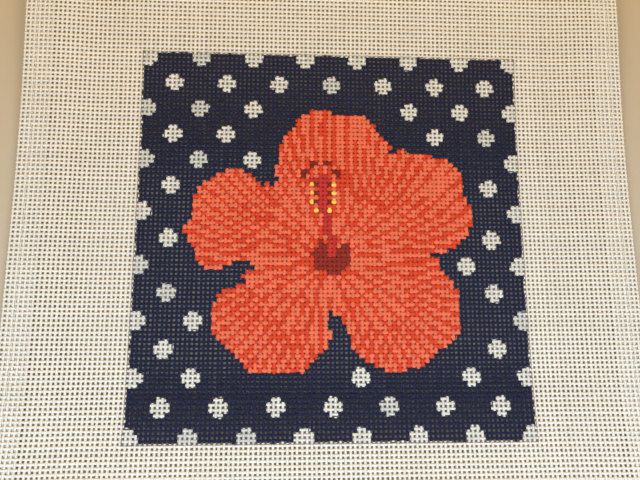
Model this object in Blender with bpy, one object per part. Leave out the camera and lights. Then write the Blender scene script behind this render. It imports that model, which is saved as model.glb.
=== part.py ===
"""Hemmed needlepoint canvas, lying flat with its stitching side up.

The cloth is a sheet of 13-mesh mono canvas. All four edges are turned under once, with
mitred corners, and held by one lock-stitched seam that runs round the hem. The middle of
the cloth lies on the surface below, and the double hem lifts the rim by one layer.

Units are metres, +Z is up, +Y is the top of the design, and the origin is at the centre
of the underside.
"""

import math

import bmesh
import bpy

# Driving dimensions -------------------------------------------------------------------
THREADS_PER_INCH = 13
PITCH = 0.0254 / THREADS_PER_INCH  # from one canvas thread to the next
DESIGN = 86  # stitches along each side of the painted square
MARGIN_LEFT = 27  # bare threads from the square to the folded edge
MARGIN_RIGHT = 26
MARGIN_TOP = 26
MARGIN_BOTTOM = 26
HEM_THREADS = 6  # turned under on each side
SEAM_THREADS = 3  # from the folded edge to the seam

LAYER = 0.0010  # thickness of the woven cloth
GAP = 0.0003  # between the two layers of the hem, and round each sewing thread
SEWING_THREAD = 0.0004  # diameter
SLOPE = 0.025  # width over which the cloth comes down from the hem to the middle
SLOPE_STEPS = 6
FOLD_STEPS = 8
THREAD_SIDES = 8

# Sizes that follow --------------------------------------------------------------------
WIDTH = (MARGIN_LEFT + DESIGN + MARGIN_RIGHT) * PITCH
HEIGHT = (MARGIN_BOTTOM + DESIGN + MARGIN_TOP) * PITCH
HEM = HEM_THREADS * PITCH
SEAM = SEAM_THREADS * PITCH
LIFT = LAYER + GAP  # from the underside of the hem to the underside of the cloth above it
TOP = LIFT + LAYER
FOLD_RADIUS = TOP / 2
GROOVE_HALF = SEWING_THREAD / 2 + GAP  # the column of holes that the seam runs along
GROOVE_DEPTH = SEWING_THREAD + GAP


def clear_scene():
    """Remove whatever the startup file holds."""
    for obj in list(bpy.data.objects):
        bpy.data.objects.remove(obj)


def principled(name, colour, roughness):
    """A plain non-metal material."""
    material = bpy.data.materials.new(name)
    material.use_nodes = True
    shader = material.node_tree.nodes["Principled BSDF"]
    shader.inputs["Base Color"].default_value = (*colour, 1.0)
    shader.inputs["Roughness"].default_value = roughness
    shader.inputs["Metallic"].default_value = 0.0
    return material


def framed_body(name, profile, closed, material):
    """A body whose cross-section is the same all round a rectangle with mitred corners.

    Each profile point is (distance in from the outer edge, height), and the points run
    with the solid on their left as seen along the front edge from its left-hand end. An
    open profile starts at the middle of the top face and ends at the middle of the
    underside, and both are filled in.
    """
    bm = bmesh.new()
    rings = []
    for inset, height in profile:
        x, y = WIDTH / 2 - inset, HEIGHT / 2 - inset
        corners = ((-x, -y), (x, -y), (x, y), (-x, y))
        rings.append([bm.verts.new((*corner, height)) for corner in corners])
    pairs = list(zip(rings, rings[1:]))
    if closed:
        pairs.append((rings[-1], rings[0]))
    else:
        bm.faces.new(rings[0])
        bm.faces.new(rings[-1])
    for ring, following in pairs:
        for i in range(4):
            j = (i + 1) % 4
            bm.faces.new((ring[i], following[i], following[j], ring[j]))
    bmesh.ops.recalc_face_normals(bm, faces=bm.faces)
    mesh = bpy.data.meshes.new(name)
    bm.to_mesh(mesh)
    bm.free()
    mesh.materials.append(material)
    obj = bpy.data.objects.new(name, mesh)
    bpy.context.collection.objects.link(obj)
    return obj


def eased_slope(start, end, base, drop):
    """Points down an S-shaped slope from height base + drop to height base."""
    points = []
    for step in range(1, SLOPE_STEPS + 1):
        t = step / SLOPE_STEPS
        height = base + drop * (1 + math.cos(math.pi * t)) / 2
        points.append((start + (end - start) * t, height))
    return points


def arc(centre_inset, centre_height, radius, steps):
    """Points down a half circle that bulges towards the outer edge, from top to bottom."""
    points = []
    for step in range(steps + 1):
        turn = math.pi * step / steps
        inset = centre_inset - radius * math.sin(turn)
        points.append((inset, centre_height + radius * math.cos(turn)))
    return points


def cloth_profile():
    """The folded cloth's cross-section, from the middle of the top to that of the underside."""
    slope_end = HEM + SLOPE
    top_groove = [
        (SEAM + GROOVE_HALF, TOP),
        (SEAM + GROOVE_HALF, TOP - GROOVE_DEPTH),
        (SEAM - GROOVE_HALF, TOP - GROOVE_DEPTH),
        (SEAM - GROOVE_HALF, TOP),
    ]
    under_groove = [
        (SEAM - GROOVE_HALF, 0.0),
        (SEAM - GROOVE_HALF, GROOVE_DEPTH),
        (SEAM + GROOVE_HALF, GROOVE_DEPTH),
        (SEAM + GROOVE_HALF, 0.0),
    ]
    upper_face = [(HEM, TOP), *eased_slope(HEM, slope_end, LAYER, LIFT)]
    lower_face = [(HEM, LIFT), *eased_slope(HEM, slope_end, 0.0, LIFT)]
    return [
        *reversed(upper_face),
        *top_groove,
        *arc(FOLD_RADIUS, FOLD_RADIUS, FOLD_RADIUS, FOLD_STEPS),
        *under_groove,
        (HEM, 0.0),
        (HEM, LAYER),
        *reversed(arc(FOLD_RADIUS, FOLD_RADIUS, GAP / 2, FOLD_STEPS // 2)),
        *lower_face,
    ]


def thread_profile(height):
    """A round thread's cross-section, on the seam line, with its centre at this height."""
    points = []
    for side in range(THREAD_SIDES):
        turn = 2 * math.pi * (side + 0.5) / THREAD_SIDES
        inset = SEAM + SEWING_THREAD / 2 * math.cos(turn)
        points.append((inset, height + SEWING_THREAD / 2 * math.sin(turn)))
    return points


def shade_round(obj):
    """Smooth the curved faces and keep the folds' and grooves' edges crisp."""
    obj.data.shade_smooth()
    obj.data.set_sharp_from_angle(angle=math.radians(35))


def make_canvas():
    """The woven cloth with its turned-under edges."""
    cream = principled("canvas_cotton", (0.80, 0.76, 0.66), 0.85)
    shade_round(framed_body("canvas", cloth_profile(), False, cream))


def make_seam_threads():
    """The seam's needle thread above and bobbin thread below, sunk between canvas threads."""
    white = principled("sewing_cotton", (0.86, 0.84, 0.80), 0.7)
    heights = {"needle_thread": TOP - SEWING_THREAD / 2, "bobbin_thread": SEWING_THREAD / 2}
    for name, height in heights.items():
        shade_round(framed_body(name, thread_profile(height), True, white))


clear_scene()
make_canvas()
make_seam_threads()
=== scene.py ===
"""Looks of the hemmed, stitch-painted needlepoint canvas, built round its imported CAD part.

The CAD holds the folded cloth as one plain solid and the seam as two plain rings. Here the
cloth is woven thread by thread: each warp and weft goes over and under the ones it crosses,
round the folds and into the hem. Places on the cloth are given in threads, s across from
the left fold and t up from the bottom fold, as if the hem were unfolded, and cloth_point()
turns them into metres in the frame. The design is painted on the crossings, one colour to
a stitch.
"""

import math

import bpy
import numpy as np
from mathutils import Matrix, Vector


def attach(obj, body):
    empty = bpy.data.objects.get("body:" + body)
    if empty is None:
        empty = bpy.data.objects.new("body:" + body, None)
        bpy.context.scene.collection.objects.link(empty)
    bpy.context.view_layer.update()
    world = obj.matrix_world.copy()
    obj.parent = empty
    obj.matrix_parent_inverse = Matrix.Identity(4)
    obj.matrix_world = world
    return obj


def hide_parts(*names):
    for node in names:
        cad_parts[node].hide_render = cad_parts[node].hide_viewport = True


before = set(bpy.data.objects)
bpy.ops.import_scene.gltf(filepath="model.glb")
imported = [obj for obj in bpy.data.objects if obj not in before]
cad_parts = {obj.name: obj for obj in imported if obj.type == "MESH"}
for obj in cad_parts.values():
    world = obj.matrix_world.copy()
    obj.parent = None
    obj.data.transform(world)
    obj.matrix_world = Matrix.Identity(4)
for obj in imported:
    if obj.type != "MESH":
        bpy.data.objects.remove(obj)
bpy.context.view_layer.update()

# The cloth, as the CAD has it -----------------------------------------------------------
MM = 0.001
PITCH = 0.0254 / 13  # from one canvas thread to the next
DESIGN = 86  # stitches along each side of the painted square
LEFT, RIGHT, TOP, BOTTOM = 27, 26, 26, 26  # bare threads from the square to each fold
ACROSS = LEFT + DESIGN + RIGHT
UP = BOTTOM + DESIGN + TOP
HEM = 6  # threads turned under
SEAM = 3  # threads from the fold to the seam
FLAT_LOW = 0.5 * MM  # middle of the cloth where it lies on the floor
FLAT_HIGH = 1.8 * MM  # and where it lies on its own hem
FOLD_CENTRE = 1.15 * MM  # of the fold's half circle, in from the outer edge
FOLD_RADIUS = 0.65 * MM  # of the middle of the cloth
PRESSED = 0.42 * MM  # how far the hem's under layer is pressed up against the cloth above,
PRESSED_OVER = 1.5 * PITCH  # which it comes to over this width past the fold
SLOPE = 25 * MM  # width over which the cloth comes down from the hem
CURL_TOP = (76, 118, 4.2 * MM)  # the cloth was kept rolled: its top end curls up from the
CURL_BOTTOM = (46, 20, 4.0 * MM)  # first place to this height at the second, and so does
CURL_EASE = 14  # its bottom end, and each levels off over this many more threads

# The threads ----------------------------------------------------------------------------
THREAD_WIDTH = 1.02 * MM  # seen from above
THREAD_THICK = 0.5616 * MM  # through the cloth
PAINT_SWELL = 0.33  # the flower's threads are this share thicker with paint
PLACE_SPREAD = 0.022  # how far threads lie off their even places, in threads
PLACE_WANDER = 0.016  # and how far each wanders along its length
SIZE_SPREAD = 0.03  # by what share threads differ in size
SIZE_WANDER = 0.035  # and each one along its length
CRIMP = 0.17 * MM  # how far a thread rises and dips at its crossings
SIDES = 6  # of a thread's tube
STEPS = 4  # rings of points to each crossing
BAND = 26  # threads in one piece
SEED = 1307

# The hem's under layer, in threads ------------------------------------------------------
SLIP_IN = 0.36  # how far its edge slips inward
SLIP_ALONG = 0.5  # and its threads along the hem
LEFT_EVEN = 71  # the place up the left side where it lies straight
LEFT_SWING = 100  # from there to where it lies straight again
RIGHT_EVEN = 112  # the place up the right side where it starts to come straight
RIGHT_FADE = 16  # and the number of threads that takes
END_SWING = 21  # sets how slowly it goes to and fro along the top and bottom
NEAR_CORNER = 12  # it comes straight at the corners too, over this many threads

# Paints, as sRGB ------------------------------------------------------------------------
BARE, NAVY, WHITE, THIN_WHITE, CORAL, SCARLET, CRIMSON, MAROON, YELLOW, BROWN = range(10)
PAINTS = {
    NAVY: (33, 38, 62),
    WHITE: (215, 217, 208),
    THIN_WHITE: (200, 204, 198),
    CORAL: (228, 112, 81),
    SCARLET: (212, 71, 43),
    CRIMSON: (190, 54, 49),
    MAROON: (141, 46, 38),
    YELLOW: (252, 208, 92),
    BROWN: (128, 44, 34),
}
RAGGED = 0.36  # in threads, how unevenly the edges of painted stitches lie
UNEVEN = 0.13  # by what share stitches of one paint differ in brightness
UNDER_COVER = 0.85  # the paint's cover on the underside of a thread

# The flower, in stitches from the painted square's lower left corner --------------------
THROAT = (42.5, 38.0)
HEART = [(30.2, 56), (24.6, 37.2), (43.6, 26), (65, 39.6), (56.6, 63.2)]  # between the petals
PETALS = {
    "left": [(30, 55), (27.4, 55.2), (25, 57.6), (20, 58.9), (15.4, 56.4), (12.5, 53.4),
             (12.1, 48), (10, 45.2), (12.2, 41.2), (15, 36.2), (19.3, 36.5), (24, 38.1)],
    "lower_left": [(25.2, 36.2), (23.2, 32.9), (18.4, 31), (17, 26.5), (17.4, 22.4),
                   (21, 18.6), (26, 14), (31, 13.8), (36.4, 14.1), (40.2, 17.6),
                   (42.9, 22), (42.2, 25.2)],
    "lower_right": [(44.8, 25.6), (46.2, 23), (47.5, 19.2), (51, 15.9), (55.8, 13.8),
                    (59.4, 14.8), (62, 15), (66, 18.4), (70.4, 21.6), (71.2, 28),
                    (69.8, 33.4), (67, 36.6), (65, 39.4)],
    "upper_right": [(65, 40), (70.4, 41), (74, 45.2), (75.3, 49), (73.2, 53.4),
                    (72.7, 58.2), (70, 61.4), (64, 62.8), (60, 63.2), (57.4, 62.9)],
    "top": [(56, 62.8), (55.6, 65.4), (53, 68.9), (50.2, 72.2), (46, 71.7), (42, 72.7),
            (37.6, 72.3), (33.6, 68.4), (31.6, 65), (31.1, 60.4), (30.2, 57.6)],
}
VEINS = ((18, 0, 0), (18, 0.5, 7), (36, 0, 15))  # how many, turned by, and from how far out
VEIN_HALF = (0.42, 0.56)  # half a vein's width, at its least and most
VEIN_STRETCH = 6  # a vein keeps its width over this many stitches
VEIN_STARTS = 4  # the stitches over which the veins of one set start
VEIN_SWAY = 0.008  # how far a vein bends to and fro, as a share of a whole turn
UNBROKEN = 0.97  # the share of stretches that are painted
THROAT_TOP = {42: [40], 41: [40, 41, 45, 46], 40: [39, 40, 41, 44, 45, 46],
              39: [38, 39, 40, 41, 44, 45, 46]}  # the columns in each row

# The dots, in stitches ------------------------------------------------------------------
DOT_STEP = 6  # between rows, and half the step along a row
DOT_HALF = 2  # half a dot's width
FULL_WHITE = 0.78  # the share of dots that are thickly painted


# Small tools ----------------------------------------------------------------------------
def linear(rgb):
    """An sRGB colour, 0 to 255, as linear light."""
    c = np.asarray(rgb, float) / 255
    return np.where(c <= 0.04045, c / 12.92, ((c + 0.055) / 1.055) ** 2.4)


def hashed(*whole):
    """An even spread of numbers from 0 to 1, one for each set of whole numbers."""
    total = np.zeros(np.broadcast(*whole).shape)
    for n, w in enumerate(whole):
        total = total + np.asarray(w, float) * (12.9898, 78.233, 37.719, 94.673)[n]
    return np.modf(np.abs(np.sin(total + 1.7) * 43758.5453))[0]


def eased(x):
    """0 to 1 along an S as x goes from 0 to 1."""
    return (1 - np.cos(np.pi * np.clip(x, 0, 1))) / 2


# The painted design ---------------------------------------------------------------------
def smooth_loop(points, steps=6):
    """A closed Catmull-Rom curve through the points."""
    p = np.array(points, float)
    before, after, beyond = np.roll(p, 1, 0), np.roll(p, -1, 0), np.roll(p, -2, 0)
    curve = []
    for w in np.arange(steps) / steps:
        curve.append(0.5 * (2 * p + (after - before) * w
                            + (2 * before - 5 * p + 4 * after - beyond) * w**2
                            + (3 * p - before - 3 * after + beyond) * w**3))
    return np.stack(curve, 1).reshape(-1, 2)


def inside(u, v, loop):
    """True where the place is inside the closed loop."""
    found = np.zeros(u.shape, bool)
    for (x0, y0), (x1, y1) in zip(loop, np.roll(loop, -1, 0)):
        if y0 == y1:
            continue
        crosses = (v < y0) != (v < y1)
        found ^= crosses & (u < x0 + (v - y0) * (x1 - x0) / (y1 - y0))
    return found


def paint_flower(paint, u, v):
    """Five ruffled petals, with veins that fan out from the throat."""
    flower = inside(u, v, HEART)
    for outline in PETALS.values():
        flower |= inside(u, v, smooth_loop([THROAT, *outline]))
    du, dv = u - THROAT[0], v - THROAT[1]
    reach = np.hypot(du, dv)
    turn = np.arctan2(dv, du) / (2 * np.pi) + 0.5
    turn = turn + VEIN_SWAY * np.sin(reach / 7 + 9 * turn)
    dark = np.zeros(u.shape, bool)
    for veins, offset, start in VEINS:
        share = turn * veins + offset
        vein = np.floor(share)
        off = np.abs(share - vein - 0.5) * 2 * np.pi * reach / veins
        begins = start + VEIN_STARTS * hashed(vein, start)
        stretch = np.floor(reach / VEIN_STRETCH + 3 * hashed(vein, veins))
        half = VEIN_HALF[0] + (VEIN_HALF[1] - VEIN_HALF[0]) * hashed(vein, stretch, start)
        broken = hashed(vein, stretch, veins) > UNBROKEN
        dark |= (off < half) & (reach > begins) & ~broken
    paint[flower] = CORAL
    paint[flower & dark] = SCARLET
    return flower


def paint_heart(paint):
    """The dark throat, and the pistil with its anthers and the five lobes of its tip."""
    for row, columns in THROAT_TOP.items():
        paint[columns, row] = MAROON
    paint[39:47, 37:39] = MAROON
    paint[39:46, 36] = MAROON
    paint[42:45, 35] = MAROON
    paint[42:44, 39:44] = CRIMSON
    paint[41:43, 44:49] = CRIMSON
    paint[40:42, 49:58] = CRIMSON
    paint[38:43, 56] = CRIMSON
    for row in (51, 53, 55):
        paint[[39, 42], row] = BROWN
        paint[[38, 43], row] = YELLOW
    paint[[39, 42], 49] = YELLOW
    for column, row in ((38, 60), (41, 60), (36, 58), (43, 58)):
        paint[column : column + 2, row] = BROWN
    paint[[38, 36, 44], [59, 57, 57]] = BROWN


def beside(taken):
    """The crossings that are taken or share a side with one that is."""
    grown = taken.copy()
    grown[1:] |= taken[:-1]
    grown[:-1] |= taken[1:]
    grown[:, 1:] |= taken[:, :-1]
    grown[:, :-1] |= taken[:, 1:]
    return grown


def paint_dots(paint, flower):
    """Round dots in staggered rows, four stitches across, wherever the flower leaves room."""
    near_flower = beside(flower)
    reach = range(-DOT_HALF, DOT_HALF)
    for row, v in enumerate(range(1, DESIGN, DOT_STEP)):
        for u in range(1 + DOT_STEP * (row % 2), DESIGN, 2 * DOT_STEP):
            across, up = np.meshgrid([u + n for n in reach], [v + n for n in reach])
            corner = (abs(across + 0.5 - u) > 1) & (abs(up + 0.5 - v) > 1)
            keep = ~corner & (across >= 0) & (across < DESIGN) & (up >= 0) & (up < DESIGN)
            across, up = across[keep], up[keep]
            if near_flower[across, up].any():
                continue
            thin = hashed(u, v) > FULL_WHITE
            paint[across, up] = THIN_WHITE if thin else WHITE


def design():
    """The paint on each crossing of the painted square, as [column, row]."""
    u, v = np.meshgrid(np.arange(DESIGN) + 0.5, np.arange(DESIGN) + 0.5, indexing="ij")
    paint = np.full(u.shape, NAVY)
    flower = paint_flower(paint, u, v)
    paint_heart(paint)
    paint_dots(paint, flower)
    return paint


# The cloth's shape ----------------------------------------------------------------------
def folded(inset):
    """How far a place is past the fold's start, how far round, and how far past its end."""
    past = FOLD_CENTRE - inset
    turn = np.clip(past / FOLD_RADIUS, 0, np.pi)
    beyond = np.maximum(past - np.pi * FOLD_RADIUS, 0)
    return past, turn, beyond


def curl(t):
    """How far the cloth's ends rise from the floor."""
    height = 0
    for start, end, rise in (CURL_TOP, CURL_BOTTOM):
        share = (t - start) / (end - start)
        ease = CURL_EASE / abs(end - start)
        beyond = np.clip(share - 1, 0, ease)
        height = height + rise * (np.clip(share, 0, 1) ** 2 + 2 * beyond - beyond**2 / ease)
    return height


def cloth_point(s, t, off):
    """Metres in the frame for a place on the cloth, off above the middle of its thickness."""
    half_wide, half_high = ACROSS * PITCH / 2, UP * PITCH / 2
    x, y = (s - ACROSS / 2) * PITCH, (t - UP / 2) * PITCH
    past_x, turn_x, beyond_x = folded(half_wide - np.abs(x))
    past_y, turn_y, beyond_y = folded(half_high - np.abs(y))
    side_on = past_x > past_y
    turn = np.where(side_on, turn_x, turn_y)
    radius_x = FOLD_RADIUS + np.where(side_on, off, 0)
    radius_y = FOLD_RADIUS + np.where(side_on, 0, off)
    inset_x = np.where(past_x > 0, FOLD_CENTRE - radius_x * np.sin(turn_x) + beyond_x,
                       half_wide - np.abs(x))
    inset_y = np.where(past_y > 0, FOLD_CENTRE - radius_y * np.sin(turn_y) + beyond_y,
                       half_high - np.abs(y))
    down_x = eased((half_wide - np.abs(x) - HEM * PITCH) / SLOPE)
    down_y = eased((half_high - np.abs(y) - HEM * PITCH) / SLOPE)
    middle = FLAT_HIGH - (FLAT_HIGH - FLAT_LOW) * down_x * down_y
    flat = np.maximum(past_x, past_y) <= 0
    z = np.where(flat, middle + off, FOLD_CENTRE + (FOLD_RADIUS + off) * np.cos(turn))
    beyond = np.where(side_on, beyond_x, beyond_y)
    z = z + PRESSED * eased(beyond / PRESSED_OVER) + curl(t)
    return np.stack([np.sign(x) * (half_wide - inset_x),
                     np.sign(y) * (half_high - inset_y), z], -1)


def slipped(s, t):
    """The place on the cloth, with the hem's under layer moved off the threads above it.

    It lies half a thread off along most of the right side and towards the ends of the left
    side, and fills the holes there.
    """
    half_wide, half_high = ACROSS * PITCH / 2, UP * PITCH / 2
    past_x = (FOLD_CENTRE - half_wide) / PITCH + np.abs(s - ACROSS / 2)
    past_y = (FOLD_CENTRE - half_high) / PITCH + np.abs(t - UP / 2)
    under_x, under_y = eased(past_x / 2), eased(past_y / 2)
    left = np.sin(np.pi * (t - LEFT_EVEN) / LEFT_SWING)
    right = 1 - eased((t - RIGHT_EVEN) / RIGHT_FADE)
    side = np.where(s < ACROSS / 2, left, right)
    side = side * eased(np.minimum(t, UP - t) / NEAR_CORNER)
    end = np.sin(s / END_SWING) * eased(np.minimum(s, ACROSS - s) / NEAR_CORNER)
    inward = np.sign(ACROSS / 2 - s) * SLIP_IN * np.abs(side) * under_x
    upward = np.sign(UP / 2 - t) * SLIP_IN * np.abs(end) * under_y
    along_s, along_t = SLIP_ALONG * end * under_y, SLIP_ALONG * side * under_x
    return s - inward + along_s, t - upward + along_t


def wander(rng, along, size, shortest, longest):
    """A smooth random line over the thread's length."""
    total = np.zeros(along.shape)
    for length in np.geomspace(shortest, longest, 4):
        total += np.sin(2 * np.pi * (along / length + rng.random()))
    return total * size / 2


# The cloth's threads --------------------------------------------------------------------
def thread_run(place, across, up):
    """The first and last place along a thread that lies at this place across."""
    edge = min(place, across - place)
    depth = min(HEM, edge)
    return -depth, up + depth


def in_square(column, row):
    """True at the crossings that lie in the painted square."""
    off_x = abs(column - LEFT - DESIGN / 2 + 0.5)
    off_y = abs(row - BOTTOM - DESIGN / 2 + 0.5)
    return (off_x < DESIGN / 2) & (off_y < DESIGN / 2)


def in_flower(paints, column, row):
    """True at the painted square's crossings that have one of the flower's paints."""
    paint = paints[(column - LEFT) % DESIGN, (row - BOTTOM) % DESIGN]
    return in_square(column, row) & (paint >= CORAL)


def cells_along(place, along, warp):
    """The column and row of each crossing that a thread passes at these places along it."""
    here = np.full(along.shape, math.floor(place))
    there = np.floor(along).astype(int)
    return (here, there) if warp else (there, here)


def thread_shape(rng, place, along, warp, paints):
    """A ring of points round the thread at each place along it."""
    rise = CRIMP * np.cos(np.pi * (along - 0.5)) * (1 if warp else -1)
    rise *= 1 if math.floor(place) % 2 == 0 else -1
    lean = np.arctan(np.gradient(rise, along * PITCH))
    sway = rng.normal(0, PLACE_SPREAD) + wander(rng, along, PLACE_WANDER, 5, 60)
    swell = 1 + rng.normal(0, SIZE_SPREAD) + wander(rng, along, SIZE_WANDER, 3, 30)
    swell = swell + PAINT_SWELL * in_flower(paints, *cells_along(place, along, warp))
    turn = (np.arange(SIDES) + 0.5) * 2 * np.pi / SIDES
    fit = 1 / math.cos(math.pi / SIDES)
    wide = np.cos(turn)[None] * (swell * THREAD_WIDTH / 2 * fit)[:, None]
    thick = np.sin(turn)[None] * (swell * THREAD_THICK / 2)[:, None]
    off = rise[:, None] + thick * np.cos(lean)[:, None]
    length = along[:, None] - thick * np.sin(lean)[:, None] / PITCH
    sideways = place + sway[:, None] + wide / PITCH * (-1 if warp else 1)
    s, t = (sideways, length) if warp else (length, sideways)
    return cloth_point(*slipped(s, t), off)


def thread_paint(place, along, warp, paints):
    """The paint on each stretch of the thread, its brightness, and whether there is any."""
    middle = (along[:-1] + along[1:]) / 2
    nudge = RAGGED * (hashed(math.floor(place), np.floor(middle), 5 + warp) - 0.5)
    column, row = cells_along(place, middle + nudge, warp)
    on = in_square(column, row)
    column, row = column - LEFT, row - BOTTOM
    kind = np.where(on, paints[column % DESIGN, row % DESIGN], BARE)
    shade = 1 + UNEVEN * (hashed(column, row, 11) - 0.5)
    return kind, shade, on


def face_paint(kind, shade, on):
    """Linear colour and cover of the paint on each face, a little thinner underneath."""
    table = np.zeros((len(PAINTS) + 1, 3))
    for key, rgb in PAINTS.items():
        table[key] = linear(rgb)
    upright = np.sin((np.arange(SIDES) + 1) * 2 * np.pi / SIDES)
    cover = np.interp(upright, [-1, -0.6], [UNDER_COVER, 1.0])
    colour = table[kind][:, None, :] * shade[:, None, None]
    colour = np.broadcast_to(colour, (len(kind), SIDES, 3))
    alpha = np.broadcast_to(cover[None] * on[:, None], (len(kind), SIDES))
    return np.concatenate([colour, alpha[..., None]], -1).reshape(-1, 4)


BAKE_GAP = 0.02  # left free at each side of a thread's row in the bake's map


def tube_faces(rings, first):
    """Quads along a tube of rings, then its two end caps, as corner and size lists."""
    ring, side = np.meshgrid(np.arange(rings - 1), np.arange(SIDES), indexing="ij")
    after = (side + 1) % SIDES
    quads = np.stack([ring * SIDES + side, ring * SIDES + after,
                      (ring + 1) * SIDES + after, (ring + 1) * SIDES + side], -1)
    start = np.arange(SIDES)[::-1]
    end = (rings - 1) * SIDES + np.arange(SIDES)
    corners = np.concatenate([quads.ravel(), start, end]) + first
    sizes = np.concatenate([np.full(quads.shape[0] * quads.shape[1], 4), [SIDES, SIDES]])
    return corners, sizes


def tube_maps(rings, step, row, rows):
    """Two maps for each corner: lengths along and round the thread, and a share of a square."""
    ring, side = np.meshgrid(np.arange(rings - 1), np.arange(SIDES), indexing="ij")
    along = np.stack([ring, ring, ring + 1, ring + 1], -1).ravel()
    round_it = np.stack([side, side + 1, side + 1, side], -1).ravel() / SIDES
    cloth = np.stack([along * step, round_it], -1)
    across = (row + BAKE_GAP + (1 - 2 * BAKE_GAP) * round_it) / rows
    share = np.stack([along / (rings - 1), across], -1)
    caps = np.zeros((2 * SIDES, 2))
    return np.concatenate([cloth, caps]), np.concatenate([share, caps + share[-1]])


def build_mesh(name, points, corners, sizes, maps, bake_map, colours, tones):
    """A mesh of all these tubes, with their paint, tone and maps."""
    mesh = bpy.data.meshes.new(name)
    mesh.vertices.add(len(points))
    mesh.vertices.foreach_set("co", points.astype(np.float32).ravel())
    mesh.loops.add(len(corners))
    mesh.loops.foreach_set("vertex_index", corners.astype(np.int32))
    mesh.polygons.add(len(sizes))
    starts = np.concatenate([[0], np.cumsum(sizes)[:-1]])
    mesh.polygons.foreach_set("loop_start", starts.astype(np.int32))
    mesh.update(calc_edges=True)
    mesh.shade_smooth()
    for label, values in (("thread", maps), ("OFBake", bake_map)):
        layer = mesh.uv_layers.new(name=label)
        layer.uv.foreach_set("vector", values.astype(np.float32).ravel())
    mesh.uv_layers.active = mesh.uv_layers["thread"]
    mesh.uv_layers["thread"].active_render = True
    layer = mesh.attributes.new("paint", "FLOAT_COLOR", "FACE")
    layer.data.foreach_set("color", colours.astype(np.float32).ravel())
    layer = mesh.attributes.new("tone", "FLOAT", "FACE")
    layer.data.foreach_set("value", tones.astype(np.float32))
    mesh.validate()
    obj = bpy.data.objects.new(name, mesh)
    bpy.context.collection.objects.link(obj)
    return obj


def thread_parts(rng, place, run, warp, paints):
    """One thread's points, and the paint and tone of each of its faces."""
    along = np.arange(run[0], run[1] + 0.5 / STEPS, 1 / STEPS)
    points = thread_shape(rng, place, along, warp, paints).reshape(-1, 3)
    painted = face_paint(*thread_paint(place, along, warp, paints))
    colours = np.concatenate([painted, np.zeros((2, 4))])  # the two end caps are bare
    return points, colours, np.full(len(colours), rng.normal(0, 1))


def thread_band(name, warp, first, last, paints):
    """Threads first to last as one piece; numbers below 0 lie in the turned-under hem."""
    across, up = (ACROSS, UP) if warp else (UP, ACROSS)
    rng = np.random.default_rng(SEED + 1000 * warp + first)
    threads = []
    count, total = 0, 0.0
    for number in range(first, last):
        place = number + 0.5
        run = thread_run(place, across, up)
        points, colours, tones = thread_parts(rng, place, run, warp, paints)
        rings = len(points) // SIDES
        corners, sizes = tube_faces(rings, count)
        maps, bake_map = tube_maps(rings, PITCH / STEPS, number - first, last - first)
        threads.append((points, corners, sizes, maps, bake_map, colours, tones))
        count += len(points)
        total += (run[1] - run[0]) * PITCH
    obj = build_mesh(name, *(np.concatenate(column) for column in zip(*threads)))
    return obj


# Materials ------------------------------------------------------------------------------
class Nodes:
    """Short ways to add nodes to a new material."""

    def __init__(self, name):
        self.material = bpy.data.materials.new(name)
        self.material.use_nodes = True
        self.tree = self.material.node_tree
        self.shader = self.tree.nodes["Principled BSDF"]

    def add(self, kind, **settings):
        """A new node with these properties set."""
        node = self.tree.nodes.new(kind)
        for key, value in settings.items():
            setattr(node, key, value)
        return node

    def join(self, source, target):
        self.tree.links.new(source, target)

    def put(self, value, socket):
        """Give a socket a value, or join it to the socket that makes one."""
        if isinstance(value, bpy.types.NodeSocket):
            self.join(value, socket)
        else:
            socket.default_value = value

    def maths(self, operation, a, b=0.0, c=0.0):
        """The result of a Math node."""
        node = self.add("ShaderNodeMath", operation=operation)
        for value, socket in zip((a, b, c), node.inputs):
            self.put(value, socket)
        return node.outputs[0]

    def mix(self, share, a, b, blend="MIX"):
        """Colour a with this share of colour b."""
        node = self.add("ShaderNodeMix", data_type="RGBA", blend_type=blend)
        self.put(share, node.inputs[0])
        self.put(a, node.inputs[6])
        self.put(b, node.inputs[7])
        return node.outputs[2]

    def noise(self, vector, scale, detail=2.0):
        """Soft random patches, 0 to 1, this many to the metre."""
        node = self.add("ShaderNodeTexNoise")
        self.join(vector, node.inputs["Vector"])
        node.inputs["Scale"].default_value = scale
        node.inputs["Detail"].default_value = detail
        return node.outputs["Fac"]

    def ranged(self, value, low, high, to_low, to_high):
        """The value, taken from the range low to high into the range to_low to to_high."""
        node = self.add("ShaderNodeMapRange")
        for v, socket in zip((value, low, high, to_low, to_high), node.inputs):
            self.put(v, socket)
        return node.outputs[0]

    def bump(self, height, strength, distance):
        """Raise the surface by a height, without moving its mesh."""
        node = self.add("ShaderNodeBump")
        node.inputs["Strength"].default_value = strength
        node.inputs["Distance"].default_value = distance
        self.join(height, node.inputs["Height"])
        self.join(node.outputs[0], self.shader.inputs["Normal"])


def twist(nodes, turns):
    """0 to 1 across each of two plies that turn this often to the metre of thread."""
    uv = nodes.add("ShaderNodeUVMap", uv_map="thread")
    parts = nodes.add("ShaderNodeSeparateXYZ")
    nodes.join(uv.outputs[0], parts.inputs[0])
    turn = nodes.maths("MULTIPLY_ADD", parts.outputs["X"], turns, parts.outputs["Y"])
    wave = nodes.maths("SINE", nodes.maths("MULTIPLY", turn, 4 * math.pi))
    return nodes.maths("MULTIPLY_ADD", wave, 0.5, 0.5)


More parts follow.
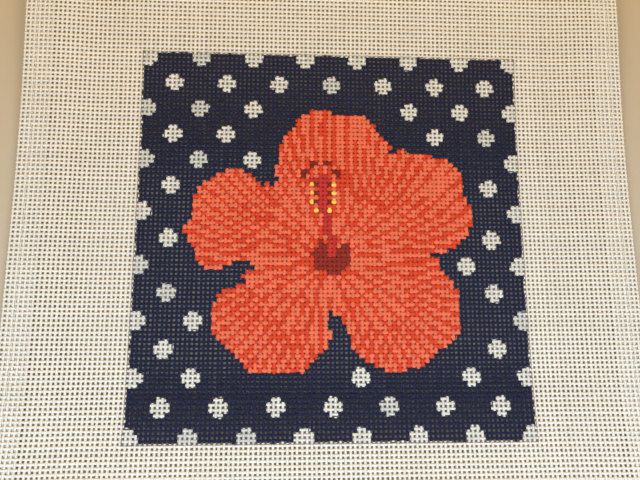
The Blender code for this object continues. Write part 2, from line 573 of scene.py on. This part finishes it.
CREAM, PALE_CREAM = (0.775, 0.755, 0.64, 1), (0.815, 0.805, 0.72, 1)
COTTON_FIBRE = (0.62, 0.54, 0.42, 1)
PENCIL = (0.09, 0.09, 0.10, 1)
PENCIL_OUT = 0.55 * MM  # the pencil line's middle, outside the painted square
PENCIL_SOLID, PENCIL_FADED = 0.12 * MM, 0.3 * MM  # off the middle of the line
# the sewing thread's painted shade in the grooves between its plies, and its own white on their
# crowns
SEWING_SHADE, SEWING_LIGHT = (0.74, 0.71, 0.65, 1), (0.88, 0.86, 0.81, 1)
SEWING_FIBRE = (0.6, 0.56, 0.48, 1)


def painted_colour(nodes, place, fibres, brush):
    """The cotton's colour, under the paint and the pencil line."""
    patches = nodes.noise(place, scale=38.0)
    tone = nodes.add("ShaderNodeAttribute", attribute_name="tone").outputs["Fac"]
    cream = nodes.mix(patches, CREAM, PALE_CREAM)
    worn = nodes.ranged(tone, -2.0, 2.0, 0.94, 1.04)
    cream = nodes.mix(1.0, cream, worn, "MULTIPLY")
    cream = nodes.mix(nodes.ranged(fibres, 0.35, 0.75, 0.0, 0.16), cream, COTTON_FIBRE)
    paint = nodes.add("ShaderNodeAttribute", attribute_name="paint")
    depth = nodes.ranged(brush, 0.3, 0.7, 0.86, 1.1)
    pigment = nodes.mix(1.0, paint.outputs["Color"], depth, "MULTIPLY")
    thin = nodes.ranged(fibres, 0.55, 0.8, 0.0, 0.06)
    solid = nodes.maths("SUBTRACT", 1.0, thin)
    cover = nodes.maths("MULTIPLY", paint.outputs["Alpha"], solid)
    base = nodes.mix(cover, cream, pigment)
    return nodes.mix(pencil_line(nodes, place, brush), base, PENCIL)


def canvas_material():
    """Sized cotton thread in warm white, with the hand-painted design over it."""
    nodes = Nodes("canvas_cotton_painted")
    place = nodes.add("ShaderNodeTexCoord").outputs["Object"]
    ply = twist(nodes, 900.0)
    fibres = nodes.noise(place, scale=5200.0, detail=3.0)
    brush = nodes.noise(place, scale=900.0)
    base = painted_colour(nodes, place, fibres, brush)
    nodes.join(base, nodes.shader.inputs["Base Color"])
    rough = nodes.ranged(brush, 0.3, 0.7, 0.62, 0.86)
    nodes.join(rough, nodes.shader.inputs["Roughness"])
    height = nodes.maths("MULTIPLY_ADD", fibres, 0.7, ply)
    nodes.bump(height, strength=0.6, distance=0.06 * MM)
    nodes.shader.inputs["Specular IOR Level"].default_value = 0.06
    return nodes.material


def pencil_line(nodes, place, brush):
    """The line drawn round the square before it was painted, broken where the pencil skipped."""
    parts = nodes.add("ShaderNodeSeparateXYZ")
    nodes.join(place, parts.inputs[0])
    shift = (LEFT + DESIGN / 2 - ACROSS / 2) * PITCH
    x = nodes.maths("ABSOLUTE", nodes.maths("SUBTRACT", parts.outputs["X"], shift))
    y = nodes.maths("ABSOLUTE", parts.outputs["Y"])
    out = nodes.maths("SUBTRACT", nodes.maths("MAXIMUM", x, y), DESIGN / 2 * PITCH)
    off = nodes.maths("ABSOLUTE", nodes.maths("SUBTRACT", out, PENCIL_OUT))
    near = nodes.ranged(off, PENCIL_SOLID, PENCIL_FADED, 1.0, 0.0)
    return nodes.maths("MULTIPLY", near, nodes.ranged(brush, 0.3, 0.6, 0.15, 0.8))


def sewing_material():
    """White two-ply sewing cotton, with painted shade in the grooves between its plies."""
    nodes = Nodes("sewing_cotton_twisted")
    place = nodes.add("ShaderNodeTexCoord").outputs["Object"]
    ply = twist(nodes, 1500.0)
    fibres = nodes.noise(place, scale=7000.0)
    # painted shade: darker in the grooves of the twist, lighter on the plies' crowns
    base = nodes.mix(ply, SEWING_SHADE, SEWING_LIGHT)
    base = nodes.mix(nodes.ranged(fibres, 0.3, 0.8, 0.0, 0.2), base, SEWING_FIBRE)
    nodes.join(base, nodes.shader.inputs["Base Color"])
    nodes.join(nodes.ranged(fibres, 0.3, 0.7, 0.5, 0.75), nodes.shader.inputs["Roughness"])
    nodes.bump(ply, strength=0.7, distance=0.05 * MM)
    nodes.shader.inputs["Sheen Weight"].default_value = 0.1
    return nodes.material


# The seam -------------------------------------------------------------------------------
SEWING_RADIUS = 0.19 * MM
STITCH_STEPS = 8  # rings of points to each canvas thread along the seam
STITCH_PAIR = 3  # canvas threads that a long and a short stitch pass over together
LONG_STITCH = 2  # and that the long one passes over
DIP_HALF = 0.24  # about half the width of a dip at a stitch's end, in canvas threads
BAKE_ROWS = 16  # the bake's map folds the long thread into this many rows
SEWN = (  # the piece, its CAD node, its height, and how far it dips to meet the other
    ("needle_stitches", "needle_thread", 2.24 * MM, 1.4 * MM),
    ("bobbin_stitches", "bobbin_thread", 0.2 * MM, 0.9 * MM),
)


def seam_points(level, lock):
    """The centre line of one seam thread, once round the hem, and its sideways direction.

    The machine's stitch is about one and a half canvas threads long, and the needle slips
    into the nearest hole, so stitches pass over two threads and one in turn.
    """
    wide, high = ACROSS - 2 * SEAM, UP - 2 * SEAM
    corners = [(SEAM, SEAM), (ACROSS - SEAM, SEAM), (ACROSS - SEAM, UP - SEAM),
               (SEAM, UP - SEAM)]
    rows = []
    run = 0
    for n, length in enumerate((wide, high, wide, high)):
        ahead = ((1, 0), (0, 1), (-1, 0), (0, -1))[n]
        for step in range(length * STITCH_STEPS):
            p = step / STITCH_STEPS
            spot = (run + p) % STITCH_PAIR
            near = min(spot, abs(spot - LONG_STITCH), STITCH_PAIR - spot)
            z = level + (lock - level) * math.exp(-((near / DIP_HALF) ** 2))
            x = (corners[n][0] + ahead[0] * p - ACROSS / 2) * PITCH
            y = (corners[n][1] + ahead[1] * p - UP / 2) * PITCH
            z += curl(corners[n][1] + ahead[1] * p)
            rows.append((x, y, z, -ahead[1], ahead[0]))
        run += length
    return np.array(rows)


def seam_tube(rows):
    """Rings of points round the seam thread's centre line."""
    centre = rows[:, :3]
    tangent = np.roll(centre, -1, 0) - np.roll(centre, 1, 0)
    tangent /= np.linalg.norm(tangent, axis=1)[:, None]
    side = np.concatenate([rows[:, 3:], np.zeros((len(rows), 1))], 1)
    upright = np.cross(tangent, side)
    turn = np.arange(SIDES) * 2 * np.pi / SIDES
    return (centre[:, None] + SEWING_RADIUS * (np.cos(turn)[None, :, None] * side[:, None]
            + np.sin(turn)[None, :, None] * upright[:, None]))


def seam_thread(name, level, lock, material):
    """A sewing thread as a closed tube that dips into the canvas at each stitch's end."""
    points = seam_tube(seam_points(level, lock))
    rings = len(points)
    ring, k = np.meshgrid(np.arange(rings), np.arange(SIDES), indexing="ij")
    after, onward = (k + 1) % SIDES, (ring + 1) % rings
    quads = np.stack([ring * SIDES + k, ring * SIDES + after, onward * SIDES + after,
                      onward * SIDES + k], -1).reshape(-1, 4)
    along = np.stack([ring, ring, ring + 1, ring + 1], -1).ravel()
    round_it = np.stack([k, k + 1, k + 1, k], -1).ravel() / SIDES
    maps = np.stack([along * PITCH / STITCH_STEPS, round_it], -1)
    row = np.repeat(np.floor((ring.ravel() + 0.01) / rings * BAKE_ROWS), 4)
    across = (row + BAKE_GAP + (1 - 2 * BAKE_GAP) * round_it) / BAKE_ROWS
    bake_map = np.stack([along / rings * BAKE_ROWS - row, across], -1)
    faces = len(quads)
    obj = build_mesh(name, points.reshape(-1, 3), quads.ravel(), np.full(faces, 4), maps,
                     bake_map, np.zeros((faces, 4)), np.zeros(faces))
    obj.data.materials.append(material)
    return obj


# Light and camera -----------------------------------------------------------------------
FLOOR_HALF, FLOOR_LEVEL = 1.5, -0.2 * MM
FLOOR_COLOUR = (0.50, 0.44, 0.32, 1)
LAMP_SIZE = 0.26
LAMPS = (  # name, place on the right, target, watts and colour
    ("front_daylight", (0.2, -0.2, 0.29), (0, -0.05, 0), 1.29, (0.7, 0.8, 1)),
    ("warm_back", (0.18, 0.26, 0.26), (0, 0.06, 0), 0.55, (1, 0.53, 0.03)),
)
ROOM_COLOUR, ROOM_STRENGTH = (1, 0.9, 0.53, 1), 0.135
LENS, SENSOR = 32.15, 36.0  # of the camera, in its own millimetres
CAMERA_PLACE = (-0.01682, -0.04491, 0.24445)
CAMERA_AHEAD = (0.05069, 0.17912, -0.98252)
CAMERA_UP = (-0.00767, 0.98383, 0.17896)


# Everything together --------------------------------------------------------------------
def make_cloth():
    """The canvas, as bands of upright threads and bands of cross threads."""
    paints = design()
    material = canvas_material()
    for warp in (True, False):
        total = ACROSS if warp else UP
        bounds = np.linspace(-HEM, total + HEM, 2 + (total + 2 * HEM) // BAND)
        bounds = bounds.round().astype(int)
        for n, (first, last) in enumerate(zip(bounds, bounds[1:]), 1):
            name = f"{'warp' if warp else 'weft'}_band_{n}"
            band = thread_band(name, warp, int(first), int(last), paints)
            band.data.materials.append(material)
            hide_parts("canvas")
            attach(band, "root")


def make_seam():
    """The two threads of the hem's seam, which meet inside the hem at each stitch's end."""
    material = sewing_material()
    for name, node, level, lock in SEWN:
        piece = seam_thread(name, level, lock, material)
        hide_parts(node)
        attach(piece, "root")


def make_floor():
    """A plain pale table top under the cloth."""
    mesh = bpy.data.meshes.new("floor")
    corners = [(x * FLOOR_HALF, y * FLOOR_HALF, FLOOR_LEVEL)
               for x, y in ((-1, -1), (1, -1), (1, 1), (-1, 1))]
    mesh.from_pydata(corners, [], [(0, 1, 2, 3)])
    floor = bpy.data.objects.new("floor", mesh)
    bpy.context.collection.objects.link(floor)
    nodes = Nodes("pale_table")
    nodes.shader.inputs["Base Color"].default_value = FLOOR_COLOUR
    nodes.shader.inputs["Roughness"].default_value = 0.7
    floor.data.materials.append(nodes.material)


def area_light(name, place, target, power, colour):
    """A square soft lamp at a place, turned to a target."""
    data = bpy.data.lights.new(name, "AREA")
    data.shape = "SQUARE"
    data.size = LAMP_SIZE
    data.energy = power
    data.color = colour
    obj = bpy.data.objects.new(name, data)
    obj.location = place
    aim = Vector(target) - Vector(place)
    obj.rotation_euler = aim.to_track_quat("-Z", "Y").to_euler()
    bpy.context.collection.objects.link(obj)


def make_lights():
    """Soft lamps at the four corners, cool daylight in front and warmer behind."""
    for side in (-1, 1):
        for name, (x, y, z), target, power, colour in LAMPS:
            area_light(name, (side * x, y, z), target, power, colour)
    world = bpy.data.worlds.new("soft_room")
    world.use_nodes = True
    sky = world.node_tree.nodes["Background"]
    sky.inputs["Color"].default_value = ROOM_COLOUR
    sky.inputs["Strength"].default_value = ROOM_STRENGTH
    bpy.context.scene.world = world


def make_camera():
    """Nearly straight down, from a little below the design's centre, as in the photograph."""
    data = bpy.data.cameras.new("camera")
    data.sensor_width = SENSOR
    data.lens = LENS
    data.clip_start = 0.01
    camera = bpy.data.objects.new("camera", data)
    ahead = Vector(CAMERA_AHEAD).normalized()
    right = ahead.cross(Vector(CAMERA_UP)).normalized()
    up = right.cross(ahead)
    turn = Matrix((right, up, -ahead)).transposed().to_4x4()
    camera.matrix_world = Matrix.Translation(Vector(CAMERA_PLACE)) @ turn
    bpy.context.collection.objects.link(camera)
    bpy.context.scene.camera = camera


make_camera()
make_lights()
make_floor()
make_cloth()
make_seam()
bpy.context.scene.view_settings.view_transform = "Standard"
bpy.context.view_layer.update()
